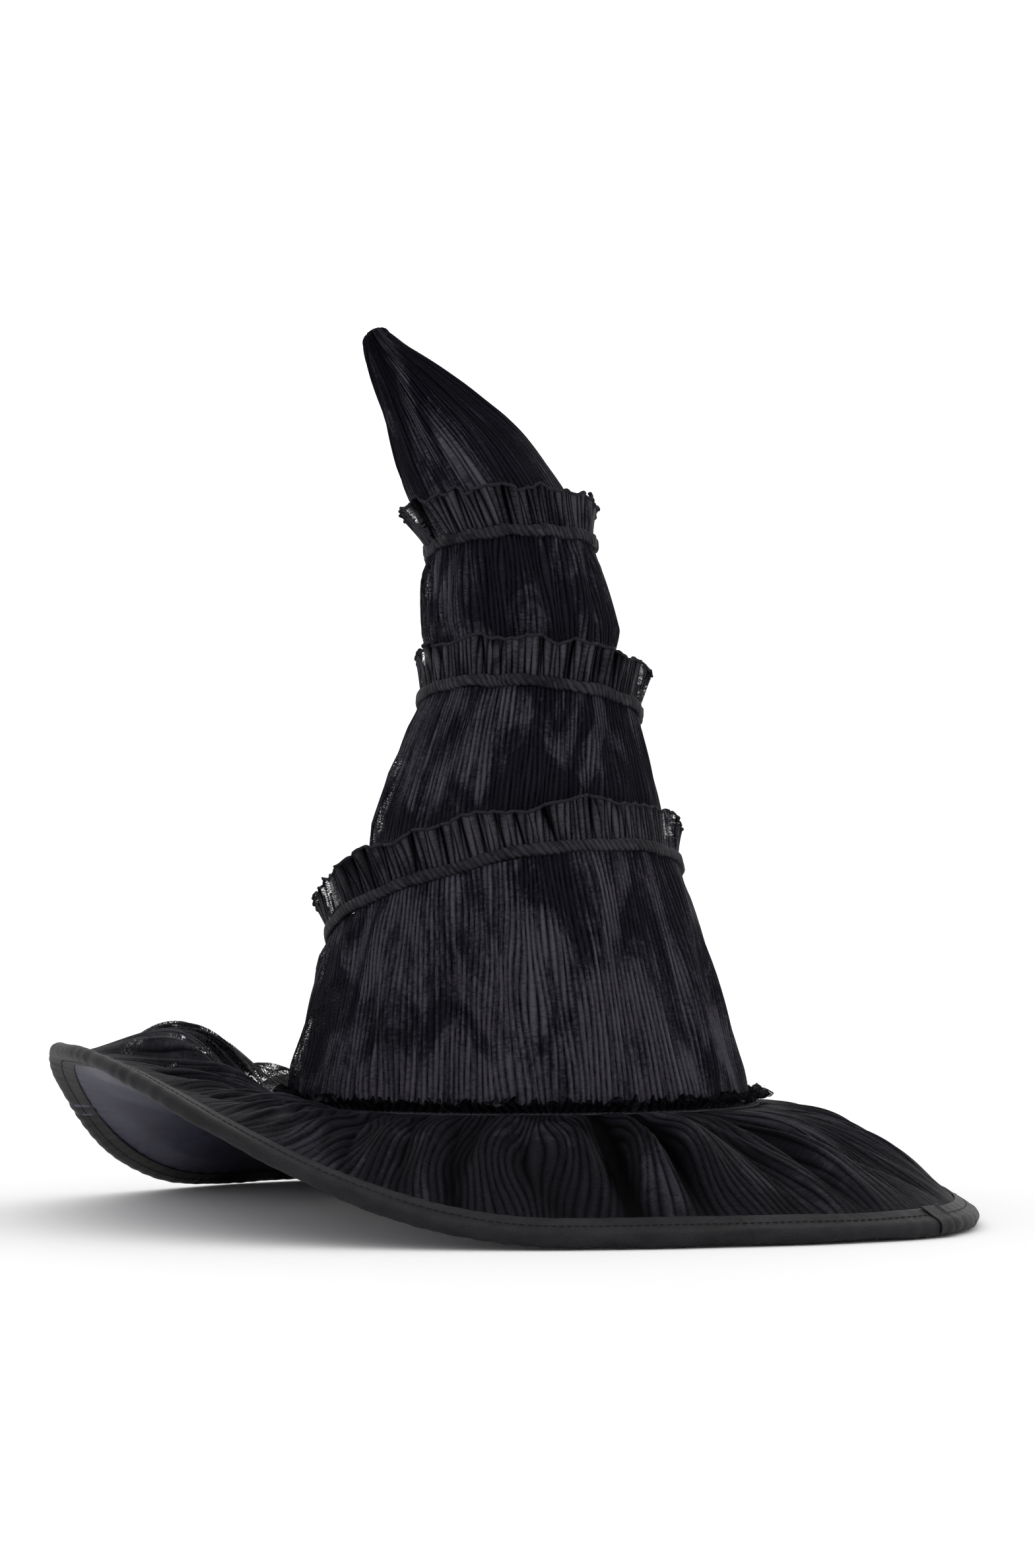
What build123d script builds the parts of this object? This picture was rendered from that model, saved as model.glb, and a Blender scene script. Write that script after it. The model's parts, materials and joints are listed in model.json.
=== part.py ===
from build123d import *
from math import cos, exp, hypot, pi, radians, sin
import os

# Driving dimensions, in millimetres and degrees.
# The origin is the centre of the head opening, +Z is up and -Y is the front.
head_radius = 91.5         # inside of the sweatband, a 57.5 cm head
crown_radius = 97.5        # outside of the crown where it meets the brim
crown_seat = 44.0          # head opening above the surface that the brim stands on
brim_radius = 194.0        # plan radius of the brim, before the two departures below
# Departures from round: (how far the edge is moved out, at which angle, degrees it takes to fade).
brim_departures = [(20.0, -40.0, 20.0), (-15.0, 5.0, 35.0)]
brim_lift = 64.0           # how high the left of the brim is curled up
lift_angles = (-222.0, -165.0, -158.0, -85.0)   # curl starts, is full, is full, has ended
edge_clearance = 4.1       # middle of the brim's edge above the surface it stands on
seam_margin = 10.0         # flat ring of brim under the crown seam and its frill

# Cloth and filling thicknesses.
gap = 0.1                  # air between two layers that lie on each other
cover_gap = 0.25           # and between the brim's satin and its gathered cover
gauze = 1.0                # crinkled gauze with its pleats
satin = 0.4
crown_foam = 2.0
lining = 0.4
brim_board = 2.5           # foam-backed buckram of the brim
brim_satin = 0.5
brim_lining_thick = 0.8
puff = 6.0                 # height of the gathered gauze cover above the brim satin
loose_puff = 12.0          # how much higher it stands where it is loosest, at the back left
loose_angle = 165.0
loose_spread = 32.0
pinched = 0.6              # the same cover where a seam holds it flat
binding = 0.8

# The crown's seams, from the brim up: (x, y, z), outside radius, lean back, lean to the left.
# The crown leans back and to the left, so its rings are not level.
seams = {
    "base": ((0.0, 0.0, 0.1), crown_radius, 0.0, 0.0),
    "low": ((-6.0, 8.0, 83.0), 76.0, 14.0, 11.4),
    "mid": ((4.0, 16.0, 166.5), 47.0, 10.4, -3.6),
    "top": ((-3.7, 22.0, 235.3), 35.8, 7.0, 3.3),
}
tuck = 8.0                 # how far a tier reaches down inside the one below
tuck_step = 3.8            # how much narrower its lower edge is than the seam
filling_stop = 10.0        # foam and lining end this far below a tier's upper seam
band_height = 4.5
band_proud = 2.0           # how far a band stands out from its tier
cord_radius = 0.9
ruffle_height = 16.5
ruffle_thick = 2.2
ruffle_flares = {"low": (1.0, 0.0), "mid": (1.0, 0.0), "top": (3.3, -4.0)}   # wider, moved along X

# The bent tip, above its tuck: (x, y, z), radius, lean back, lean to the left.
tip_rings = [
    ((-4.0, 22.7, 240.8), 33.0, 7.0, 3.3),
    ((-11.0, 24.0, 254.5), 32.4, 7.0, 11.0),
    ((-22.8, 26.0, 274.3), 28.6, 7.0, 20.7),
    ((-35.7, 28.0, 292.5), 21.4, 7.0, 29.7),
    ((-47.4, 29.0, 309.0), 14.4, 7.0, 37.0),
    ((-62.0, 30.0, 329.5), 5.4, 7.0, 39.0),
]
tip_tuck_radius = 32.4     # narrower than the other tucks, because the tip leans outwards

# Sweatband, frill and edge wire.
sweatband_thick = 1.2
sweatband_below = 10.0
sweatband_above = 2.0
frill_foot = 97.8
frill_width = 3.2
frill_height = 6.0
frill_flare = 1.0
tape_thick = 0.8
wire_radius = 0.7
wire_from_edge = 1.6       # wire's centre, outwards from the cut edge of the brim
wire_angle = 90.0          # the wire's ends meet at the back
wire_end_gap = 0.3         # degrees between them
joiner_radius = 1.35
joiner_bore = 1.15
joiner_length = 8.0
binding_cover = 8.0        # how far the binding laps onto the brim
binding_nose = 3.9         # how far it stands out past the brim's cut edge
leg_gap = 0.3              # room between its legs and the layers they clasp
lap_angle = -40.0          # where the binding's folded end lies
lap_half_angle = 1.6

stations = 24              # radial sections that every ring around the brim is lofted through
floor_z = -crown_seat
brim_inner = head_radius + sweatband_thick + 0.3
board_middle = -brim_satin - gap - brim_board / 2   # the satin's top is level with the origin


def raised_cosine(t):
    """Smooth step: 0 at t = 0, 1 at t = 1, level at both ends."""
    t = min(max(t, 0.0), 1.0)
    return (1 - cos(pi * t)) / 2


def bell(angle, middle, spread):
    """1 at the middle angle, fading smoothly to 0 on both sides."""
    away = (angle - middle + 180) % 360 - 180
    return exp(-(away / spread) ** 2)


def edge_radius(angle):
    """Plan radius of the brim: a circle with a soft point at the front right and a flatter right side."""
    return brim_radius + sum(out * bell(angle, middle, spread) for out, middle, spread in brim_departures)


def edge_height(angle):
    """Height of the brim's edge: on the floor, but curled up over the left side."""
    start, full, still_full, end = lift_angles
    turn = (angle - start) % 360 + start
    lift = min(raised_cosine((turn - start) / (full - start)),
               raised_cosine((end - turn) / (end - still_full)))
    return floor_z + edge_clearance + brim_lift * lift


def brim_curve(angle, distance):
    """Point (radius, height) on the middle of the brim board, distance out from its hole."""
    width = edge_radius(angle) - brim_inner
    reach = max(distance - seam_margin, 0.0) / (width - seam_margin)
    drop = edge_height(angle) - board_middle
    return brim_inner + distance, board_middle + drop * reach ** 1.4


def brim_point(angle, distance, height):
    """Point in space at a height square to the brim board, distance out from its hole."""
    width = edge_radius(angle) - brim_inner
    on_board = min(distance, width)
    r0, z0 = brim_curve(angle, on_board - 0.5)
    r1, z1 = brim_curve(angle, on_board)
    length = hypot(r1 - r0, z1 - z0)
    along = ((r1 - r0) / length, (z1 - z0) / length)
    past = distance - on_board
    radius = r1 + along[0] * past - along[1] * height
    z = z1 + along[1] * past + along[0] * height
    return Vector(radius * cos(radians(angle)), radius * sin(radians(angle)), z)


def ring_around_brim(profile, first=0.0, last=360.0, count=stations):
    """Loft a closed radial profile around the brim. profile(angle) lists (distance, height)."""
    def section(angle):
        corners = [brim_point(angle, d, h) for d, h in profile(angle)]
        return Wire.make_polygon(corners, close=True)

    angles = [first + (last - first) * i / count for i in range(count + 1)]
    if last - first < 360:
        return Solid.make_loft([section(a) for a in angles])
    half = count // 2
    halves = [angles[: half + 1], angles[half:]]
    return Solid.make_loft([section(a) for a in halves[0]]) + Solid.make_loft([section(a) for a in halves[1]])


def brim_steps(angle):
    """Distances that every layer of the brim bends at, from its hole to its cut edge."""
    width = edge_radius(angle) - brim_inner
    under_binding = width - binding_cover
    return [seam_margin + (under_binding - seam_margin) * f for f in (0.0, 0.3, 0.65, 1.0)] + [width]


def brim_layer(angle, low, high):
    """Profile of a flat layer of the brim between two heights off the middle of the board."""
    steps = [0.0] + brim_steps(angle)
    return [(d, high) for d in steps] + [(d, low) for d in reversed(steps)]


def seam_frame(name, up=0.0):
    """Frame at a crown seam: origin at its centre, Z along the crown, up above the seam."""
    centre, _, back, left = seams[name]
    return Location(centre, (-back, -left, 0)) * Pos(0, 0, up)


def circle(frame, radius):
    return Wire.make_circle(radius).moved(frame)


def tier_layer(lower, upper, outside, thick):
    """One layer of a tier's wall: outside is how far it lies inside the tier's outer face."""
    upper_radius = seams[upper][1]
    if lower == "base":
        start, start_radius = seam_frame("base"), crown_radius
    else:
        start, start_radius = seam_frame(lower, -tuck), seams[lower][1] - tuck_step
    end = seam_frame(upper)

    def wall(inset):
        return Solid.make_loft([circle(start, start_radius - inset), circle(end, upper_radius - inset)], True)

    return wall(outside) - wall(outside + thick)


def below_seam(shape, upper):
    """Cut a tier's filling off where the next tier's tucked edge needs the room."""
    above = seam_frame(upper, -filling_stop) * Pos(0, 0, 100) * Box(400, 400, 200)
    return shape - above


def tip_layer(outside, thick):
    """One layer of the tip: closed at its end, open at its tucked lower edge."""
    def body(inset, end_inset):
        wires = [circle(seam_frame("top", -tuck), tip_tuck_radius - inset)]
        for centre, radius, back, left in tip_rings:
            last = centre == tip_rings[-1][0]
            frame = Location(centre, (-back, -left, 0)) * Pos(0, 0, -end_inset if last else 0)
            wires.append(circle(frame, radius - inset))
        return Solid.make_loft(wires, True)

    return body(outside, outside) - body(outside + thick, outside + thick)


def tube_ring(inner, outer, low, high):
    """Plain ring about Z between two heights."""
    height = high - low
    return Pos(0, 0, low + height / 2) * (Cylinder(outer, height) - Cylinder(inner, height))


def flared_ring(foot_inner, thick, flare, low, high, moved=0.0):
    """Ring about Z that widens by flare from its foot to its top, which is moved along X."""
    def body(radius):
        return Solid.make_loft([circle(Pos(0, 0, low), radius),
                                circle(Pos(moved, 0, high), radius + flare)], True)

    return body(foot_inner + thick) - body(foot_inner)


parts = {}

# Brim: board, satin and gathered gauze above it, lining below it.
board_top = brim_board / 2
satin_low = board_top + gap
cover_low = satin_low + brim_satin + cover_gap
lining_top = -board_top - gap
lining_low = lining_top - brim_lining_thick
parts["brim_board"] = ring_around_brim(lambda a: brim_layer(a, -board_top, board_top))
parts["brim_satin"] = ring_around_brim(lambda a: brim_layer(a, satin_low, satin_low + brim_satin))
parts["brim_lining"] = ring_around_brim(lambda a: brim_layer(a, lining_low, lining_top))


def cover_profile(angle):
    """Gathered cover: pinched at the frill and under the binding, puffed up between them."""
    steps = brim_steps(angle)
    start, pinch, end = steps[0], steps[-2], steps[-1]
    height = puff + loose_puff * bell(angle, loose_angle, loose_spread)
    puffed = [(start + (pinch - start) * f, cover_low + height * k)
              for f, k in ((0.12, 0.6), (0.4, 1.0), (0.65, 1.0), (0.88, 0.6))]
    flat = cover_low + pinched
    upper = [(start, flat)] + puffed + [(pinch, flat), (end, flat)]
    return upper + [(d, cover_low) for d in reversed(steps)]


parts["brim_gauze_cover"] = ring_around_brim(cover_profile)

# Edge: a folded binding around the cut edges, a wire in its fold and a joiner over the wire's ends.
leg_top = cover_low + pinched + leg_gap
leg_low = lining_low - leg_gap


def binding_profile(angle):
    """Folded strip: a leg above, a rounded nose, a leg below, and the slot between them."""
    edge = edge_radius(angle) - brim_inner
    inward, nose = edge - binding_cover, edge + binding_nose
    above = [(inward, leg_top + binding), (edge, leg_top + binding), (edge + 2.0, leg_top + binding)]
    below = [(edge + 2.0, leg_low - binding), (edge, leg_low - binding), (inward, leg_low - binding)]
    slot = [(inward, leg_low), (edge, leg_low), (nose - binding, leg_low),
            (nose - binding, leg_top), (edge, leg_top), (inward, leg_top)]
    return above + [(nose, leg_top - 0.8), (nose, leg_low + 0.8)] + below + slot


def lap_profile(angle):
    """Folded end of the binding: lies on its upper leg and over its nose."""
    edge = edge_radius(angle) - brim_inner
    top = leg_top + binding + gap
    nose = edge + binding_nose + gap
    inward = edge - binding_cover
    return [(inward, top), (edge, top), (edge + 2.1, top), (nose, leg_top - 0.7), (nose, 0.0),
            (nose + 0.6, 0.0), (nose + 0.6, leg_top - 0.4), (edge + 2.4, top + 0.6),
            (edge, top + 0.6), (inward, top + 0.6)]


def wire_profile(angle):
    """Round section of the edge wire, as an octagon of the same width."""
    middle = edge_radius(angle) - brim_inner + wire_from_edge
    turns = [2 * pi * i / 8 for i in range(8)]
    return [(middle + wire_radius * cos(t), wire_radius * sin(t)) for t in turns]


parts["edge_binding"] = ring_around_brim(binding_profile)
parts["binding_lap"] = ring_around_brim(
    lap_profile, lap_angle - lap_half_angle, lap_angle + lap_half_angle, 2)
meeting = brim_point(wire_angle, edge_radius(wire_angle) - brim_inner + wire_from_edge, 0)
across = Pos(meeting) * Rot(0, 90, 0)
parts["edge_wire"] = ring_around_brim(
    wire_profile, wire_angle + wire_end_gap / 2, wire_angle + 360 - wire_end_gap / 2)
parts["wire_joiner"] = across * (Cylinder(joiner_radius, joiner_length) - Cylinder(joiner_bore, joiner_length))

# Head opening: the sweatband, and the gathered frill on its tape around the foot of the crown.
parts["sweatband"] = tube_ring(head_radius, head_radius + sweatband_thick, -sweatband_below, sweatband_above)
parts["frill_tape"] = tube_ring(frill_foot, frill_foot + frill_width, gap, gap + tape_thick)
frill_low = gap + tape_thick + gap
frill_high = frill_low + frill_height
parts["base_frill"] = flared_ring(frill_foot, frill_width, frill_flare, frill_low, frill_high)

# Crown tiers: gauze over satin over foam over lining.
tiers = {"tier_one": ("base", "low"), "tier_two": ("low", "mid"), "tier_three": ("mid", "top")}
satin_in = gauze + gap
foam_in = satin_in + satin + gap
lining_in = foam_in + crown_foam + gap
for tier, (lower, upper) in tiers.items():
    parts[f"{tier}_gauze"] = tier_layer(lower, upper, 0.0, gauze)
    parts[f"{tier}_satin"] = tier_layer(lower, upper, satin_in, satin)
    parts[f"{tier}_foam"] = below_seam(tier_layer(lower, upper, foam_in, crown_foam), upper)
    parts[f"{tier}_lining"] = below_seam(tier_layer(lower, upper, lining_in, lining), upper)
parts["tip_gauze"] = tip_layer(0.0, gauze)
parts["tip_satin"] = tip_layer(satin_in, satin)
parts["tip_foam"] = tip_layer(foam_in, crown_foam)

# Trims: on each seam a folded band with its gathering cord inside, and a ruffle standing on it.
for name in ("low", "mid", "top"):
    radius = seams[name][1]
    place = seam_frame(name)
    inner = radius - satin_in - satin
    outer = radius + band_proud
    middle = gap + band_height / 2
    channel = (inner + outer) / 2
    fold = tube_ring(inner, outer, gap, gap + band_height)
    fold = fillet(fold.edges(), 1.0)
    fold -= Pos(0, 0, middle) * Torus(channel, cord_radius + gap)
    flare, moved = ruffle_flares[name]
    ruffle_low = gap + band_height + gap
    parts[f"{name}_band"] = place * fold
    parts[f"{name}_gathering_cord"] = place * Pos(0, 0, middle) * Torus(channel, cord_radius)
    parts[f"{name}_ruffle"] = place * flared_ring(
        radius - 0.6, ruffle_thick, flare, ruffle_low, ruffle_low + ruffle_height, moved)

os.makedirs("parts", exist_ok=True)
for name, shape in parts.items():
    export_step(shape, f"parts/{name}.step")
    print(f"{name}: {shape.volume / 1000:.2f} cm3")
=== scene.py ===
import bpy
import json
import numpy as np
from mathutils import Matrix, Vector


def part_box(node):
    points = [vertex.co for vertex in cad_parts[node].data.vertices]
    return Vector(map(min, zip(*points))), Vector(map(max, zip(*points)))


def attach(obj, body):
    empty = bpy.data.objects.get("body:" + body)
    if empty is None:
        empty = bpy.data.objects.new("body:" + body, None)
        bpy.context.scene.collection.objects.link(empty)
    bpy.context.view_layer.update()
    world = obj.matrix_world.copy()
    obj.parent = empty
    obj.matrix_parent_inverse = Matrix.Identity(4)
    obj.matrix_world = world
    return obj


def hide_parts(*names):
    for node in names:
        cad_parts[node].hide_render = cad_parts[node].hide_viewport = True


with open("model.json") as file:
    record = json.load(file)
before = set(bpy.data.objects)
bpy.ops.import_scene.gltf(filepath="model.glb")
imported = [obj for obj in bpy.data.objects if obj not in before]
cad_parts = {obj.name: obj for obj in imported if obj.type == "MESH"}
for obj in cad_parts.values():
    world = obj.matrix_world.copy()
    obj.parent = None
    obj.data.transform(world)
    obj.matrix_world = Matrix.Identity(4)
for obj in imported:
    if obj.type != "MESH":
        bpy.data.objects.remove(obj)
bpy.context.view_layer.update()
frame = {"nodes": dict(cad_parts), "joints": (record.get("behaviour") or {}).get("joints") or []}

# The table and the light: a pale sweep under soft studio lamps, and a camera a little above the table.
# The hat stands on its brim, so the table's height is the lowest point of the edge binding.
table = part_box("edge_binding")[0][2]
camera_distance = 1.5
camera_height = 0.118
camera_pitch = np.radians(92.35)
frame_height_at_hat = 0.665

view_height = 0.024
eye = bpy.data.cameras.new("camera")
eye.sensor_fit = "VERTICAL"
eye.sensor_height = 1000 * view_height
eye.lens = eye.sensor_height * camera_distance / frame_height_at_hat
eye.clip_end = 30
camera = bpy.data.objects.new("camera", eye)
camera.location = (-0.001, -camera_distance, table + camera_height)
camera.rotation_euler = (camera_pitch, 0, 0)
bpy.context.scene.collection.objects.link(camera)
bpy.context.scene.camera = camera
bpy.context.scene.view_settings.view_transform = "Standard"


def softbox(name, place, aim, width, height, watts):
    """Rectangular lamp at a place, turned so that its face looks at the aim point."""
    lamp = bpy.data.lights.new(name, "AREA")
    lamp.shape = "RECTANGLE"
    lamp.size, lamp.size_y, lamp.energy = width, height, watts
    holder = bpy.data.objects.new(name, lamp)
    holder.location = place
    gaze = np.array(aim) - np.array(place)
    yaw = np.arctan2(gaze[0], -gaze[1])
    pitch = np.arctan2(np.hypot(gaze[0], gaze[1]), -gaze[2])
    holder.rotation_euler = (pitch, 0, yaw)
    bpy.context.scene.collection.objects.link(holder)


hat_middle = (0.0, 0.0, 0.10)
softbox("key_light", (-0.9, -1.3, 1.5), hat_middle, 0.8, 0.8, 26)
softbox("fill_light", (1.5, -1.0, 0.7), hat_middle, 0.9, 1.2, 14)
softbox("rim_light", (0.5, 1.4, 1.4), hat_middle, 1.4, 0.8, 26)

room = bpy.data.worlds.new("room")
room.use_nodes = True
room.node_tree.nodes["Background"].inputs["Color"].default_value = (1, 1, 1, 1)
room.node_tree.nodes["Background"].inputs["Strength"].default_value = 1.10
bpy.context.scene.world = room


class Level:
    """A node's output that ordinary arithmetic works on: each operator adds one Math node."""
    def __init__(self, finish, socket):
        self.finish, self.socket = finish, socket

    def maths(self, operation, first, second):
        return self.finish.node("ShaderNodeMath", {"operation": operation}, {0: first, 1: second})

    def __add__(self, other):
        return self.maths("ADD", self, other)

    def __sub__(self, other):
        return self.maths("SUBTRACT", self, other)

    def __rsub__(self, other):
        return self.maths("SUBTRACT", other, self)

    def __mul__(self, other):
        return self.maths("MULTIPLY", self, other)

    __radd__, __rmul__ = __add__, __mul__


class Finish:
    """A material made node by node around one Principled shader."""
    def __init__(self, name, **constants):
        self.material = bpy.data.materials.new(name)
        self.material.use_nodes = True
        self.tree = self.material.node_tree
        self.shader = self.tree.nodes["Principled BSDF"]
        self.paint(**constants)

    def node(self, kind, settings=(), inputs=(), output=0):
        """Add a node: its settings first, then its inputs by name or place."""
        made = self.tree.nodes.new(kind)
        for key, value in dict(settings).items():
            setattr(made, key, value)
        for key, value in dict(inputs).items():
            self.feed(made.inputs[key], value)
        return Level(self, made.outputs[output])

    def feed(self, socket, value):
        if isinstance(value, Level):
            self.tree.links.new(value.socket, socket)
        else:
            socket.default_value = value

    def paint(self, **channels):
        """Link channels of the shader, such as base_color or roughness."""
        for name, value in channels.items():
            self.feed(self.shader.inputs[name.replace("_", " ").title().replace("Ior", "IOR")], value)

    def place(self, output="Object"):
        return self.node("ShaderNodeTexCoord", output=output)

    def stretched(self, vector, x, y, z=1.0):
        return self.node("ShaderNodeVectorMath", {"operation": "MULTIPLY"}, {0: vector, 1: (x, y, z)})

    def clouds(self, vector, scale, detail=3.0, rough=0.55, twist=0.0):
        """Noise from 0 to 1 about the middle 0.5."""
        return self.node("ShaderNodeTexNoise", {}, {
            "Vector": vector, "Scale": scale, "Detail": detail, "Roughness": rough, "Distortion": twist})

    def between(self, value, low, high):
        """0 below low, 1 above high, a smooth step between."""
        return self.node("ShaderNodeMapRange", {"interpolation_type": "SMOOTHSTEP"}, {
            "Value": value, "From Min": low, "From Max": high})

    def blend(self, factor, first, second):
        """Mix two colours by a factor."""
        made = self.tree.nodes.new("ShaderNodeMix")
        made.data_type = "RGBA"
        self.feed(made.inputs["Factor"], factor)
        for socket, value in ((made.inputs[6], first), (made.inputs[7], second)):
            self.feed(socket, value if isinstance(value, Level) else (*value, 1))
        return Level(self, made.outputs[2])

    def attribute(self, name):
        return self.node("ShaderNodeAttribute", {"attribute_name": name}, output="Fac")

    def relief(self, height, depth, strength=1.0):
        """Bump in metres of depth for a height of 1."""
        self.paint(normal=self.node("ShaderNodeBump", {}, {
            "Height": height, "Distance": depth, "Strength": strength}))


table_finish = Finish("table_paper", roughness=0.85)
paper_grain = table_finish.clouds(table_finish.place(), 140.0, 4.0)
table_finish.paint(base_color=table_finish.blend(paper_grain, (0.93, 0.93, 0.93), (0.97, 0.97, 0.97)))
sweep_depth, sweep_rise, sweep_half_width = 9.0, 6.0, 9.0
along = np.linspace(0, 1, 40)
bend = np.clip((along - 0.55) / 0.15, 0, 1) * np.pi / 2
step = np.gradient(along) * (sweep_depth + sweep_rise)
sweep_y = -6.0 + np.cumsum(step * np.cos(bend))
sweep_z = table + np.cumsum(step * np.sin(bend))
corners = [(x, y, z) for y, z in zip(sweep_y, sweep_z) for x in (-sweep_half_width, sweep_half_width)]
panels = [(2 * i, 2 * i + 1, 2 * i + 3, 2 * i + 2) for i in range(len(along) - 1)]
sweep_mesh = bpy.data.meshes.new("sweep")
sweep_mesh.from_pydata(corners, [], panels)
sweep_mesh.shade_smooth()
sweep_mesh.materials.append(table_finish.material)
sweep = bpy.data.objects.new("sweep", sweep_mesh)
bpy.context.scene.collection.objects.link(sweep)

# The crown's four tiers: cones of cloth cut with more width than they need and set into crinkle pleats.
# Each tier's lower edge is tucked into the tier below, and the seams between them are not level.
mm = 0.001
seat = {joint["name"]: np.array(joint["pos_m"]) for joint in frame["joints"]}
crown_radius = 97.5 * mm
# Seam rings, (centre, radius, lean back, lean to the left): the foot, then the three above it.
foot_seam = (np.array([0, 0, 0.1 * mm]), crown_radius, 0.0, 0.0)
low_seam = (seat["crown_lean"], 76.0 * mm, 14.0, 11.4)
mid_seam = (seat["upper_lean"], 47.0 * mm, 10.4, -3.6)
top_seam = (seat["tip_bend"], 35.8 * mm, 7.0, 3.3)
tuck, tuck_step = 8.0 * mm, 3.8 * mm
tip_rings = [
    (np.array([-4.0, 22.7, 240.8]) * mm, 33.0 * mm, 7.0, 3.3),
    (np.array([-11.0, 24.0, 254.5]) * mm, 32.8 * mm, 7.0, 11.0),
    (np.array([-22.8, 26.0, 274.3]) * mm, 28.6 * mm, 7.0, 20.7),
    (np.array([-35.7, 28.0, 292.5]) * mm, 21.4 * mm, 7.0, 29.7),
    (np.array([-47.4, 29.0, 309.0]) * mm, 14.4 * mm, 7.0, 37.0),
    (np.array([-58.6, 29.7, 324.5]) * mm, 7.6 * mm, 7.0, 36.0),
    (np.array([-64.0, 30.0, 333.5]) * mm, 3.1 * mm, 7.0, 22.0),
]


def turned(back, left):
    """Rotation of a seam's frame: tilted back about X, then left about Y."""
    a, b = np.radians(-back), np.radians(-left)
    about_x = np.array([[1, 0, 0], [0, np.cos(a), -np.sin(a)], [0, np.sin(a), np.cos(a)]])
    about_y = np.array([[np.cos(b), 0, np.sin(b)], [0, 1, 0], [-np.sin(b), 0, np.cos(b)]])
    return about_x @ about_y


def moved_up(ring, up, wider=0.0):
    """The same ring, moved along its own axis."""
    centre, radius, back, left = ring
    return centre + turned(back, left)[:, 2] * up, radius + wider, back, left


def eased(knots, values, at):
    """Catmull-Rom curve through values at evenly numbered knots: the tangent at each knot is half
    the step between its neighbours."""
    values = np.array(values, float)
    i = np.clip(at.astype(int), 0, knots - 2)
    t = (at - i)[(...,) + (None,) * (values.ndim - 1)]
    slope = np.gradient(values, axis=0)
    p, q, m, n = values[i], values[i + 1], slope[i], slope[i + 1]
    return (2 * t**3 - 3 * t**2 + 1) * p + (t**3 - 2 * t**2 + t) * m \
        + (3 * t**2 - 2 * t**3) * q + (t**3 - t**2) * n


def around(columns):
    """Angles once round, from the back seam to the back seam."""
    return np.linspace(np.pi / 2, np.pi / 2 + 2 * np.pi, columns + 1)


def wall(rings, angle, rise):
    """Points on the wall through a stack of rings and the outward direction at each.
    A point is centre + radius * (cos, sin) in its ring's frame; centre, radius and tilt run
    smoothly up the stack as rise goes from 0 to 1."""
    count = len(rings)
    at = rise * (count - 1)
    centre = eased(count, [r[0] for r in rings], at)
    radius = eased(count, [[r[1]] for r in rings], at)
    back = np.radians(-eased(count, [r[2] for r in rings], at))
    left = np.radians(-eased(count, [r[3] for r in rings], at))
    x, y = np.cos(angle), np.sin(angle)
    out = np.stack([np.cos(left) * x, np.sin(back) * np.sin(left) * x + np.cos(back) * y,
                    -np.cos(back) * np.sin(left) * x + np.sin(back) * y], -1)
    return centre + radius * out, out


def bell(angle, middle, spread):
    """exp(-(a / spread)^2), where a is the angle from the middle, wrapped."""
    return np.exp(-(((angle - middle + np.pi) % (2 * np.pi) - np.pi) / spread) ** 2)


def ripple(angle, rise, seed, turns, climb, waves=20):
    """Smooth random height of about -2 to 2: cosines with whole numbers of waves round the ring,
    so that it closes, and up to climb waves up it."""
    dice = np.random.default_rng(seed)
    total = 0
    for _ in range(waves):
        around_waves = dice.integers(turns[0], turns[1] + 1)
        total = total + np.cos(around_waves * angle + 2 * np.pi * dice.uniform(-climb, climb) * rise
                               + dice.uniform(0, 2 * np.pi))
    return total / np.sqrt(waves / 2)


def crinkled(angle, rise, count, wander, seed):
    """Crinkle pleats: their height, 0 in the creases to 1 on the crests, is |sin| of half a phase
    that has count waves round the ring and wanders sideways. Also returns the pleat number."""
    phase = count * angle + wander * ripple(angle, rise, seed, (2, 11), 1.1) \
        + 0.35 * wander * ripple(angle, rise, seed + 1, (14, 40), 2.2)
    return np.abs(np.sin(phase / 2)) ** 0.75, phase / (2 * np.pi)


def cloth(name, points, uv, finish, body, node, outward=True, values=(), thick=0.0, closed=True,
          looped=False):
    """Mesh over a (rows, columns, 3) grid with a UV map, named values at its points, a finish, and
    the CAD node that it stands for. The last column of a closed grid meets the first, and so does
    the last row of a looped one."""
    rows, columns = points.shape[:2]
    kept = columns - 1 if closed else columns
    rows_kept = rows - 1 if looped else rows
    mesh = bpy.data.meshes.new(name)
    mesh.vertices.add(rows_kept * kept)
    mesh.vertices.foreach_set("co", points[:rows_kept, :kept].reshape(-1).astype(np.float32))
    row, column = np.mgrid[0:rows - 1, 0:columns - 1]
    ring = np.stack([row, row, row + 1, row + 1], -1)
    turn = np.stack([column, column + 1, column + 1, column], -1)
    if not outward:
        ring, turn = ring[..., ::-1], turn[..., ::-1]
    corner = (ring % rows_kept * kept + turn % kept).reshape(-1)
    mesh.loops.add(corner.size)
    mesh.loops.foreach_set("vertex_index", corner.astype(np.int32))
    mesh.polygons.add(corner.size // 4)
    mesh.polygons.foreach_set("loop_start", np.arange(0, corner.size, 4, dtype=np.int32))
    mesh.update(calc_edges=True)
    mesh.shade_smooth()
    map_uv = np.stack([uv[0][ring, turn], uv[1][ring, turn]], -1)
    mesh.uv_layers.new(name="cloth").data.foreach_set("uv", map_uv.reshape(-1).astype(np.float32))
    for key, level in dict(values).items():
        layer = mesh.attributes.new(key, "FLOAT", "POINT")
        layer.data.foreach_set("value", level[:rows_kept, :kept].reshape(-1).astype(np.float32))
    mesh.validate()
    mesh.materials.append(finish.material)
    piece = bpy.data.objects.new(name, mesh)
    bpy.context.scene.collection.objects.link(piece)
    if thick:
        shell = piece.modifiers.new("thickness", "SOLIDIFY")
        shell.thickness, shell.offset = thick, -1.0
    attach(piece, body)
    if node:
        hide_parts(node)
    return piece


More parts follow.
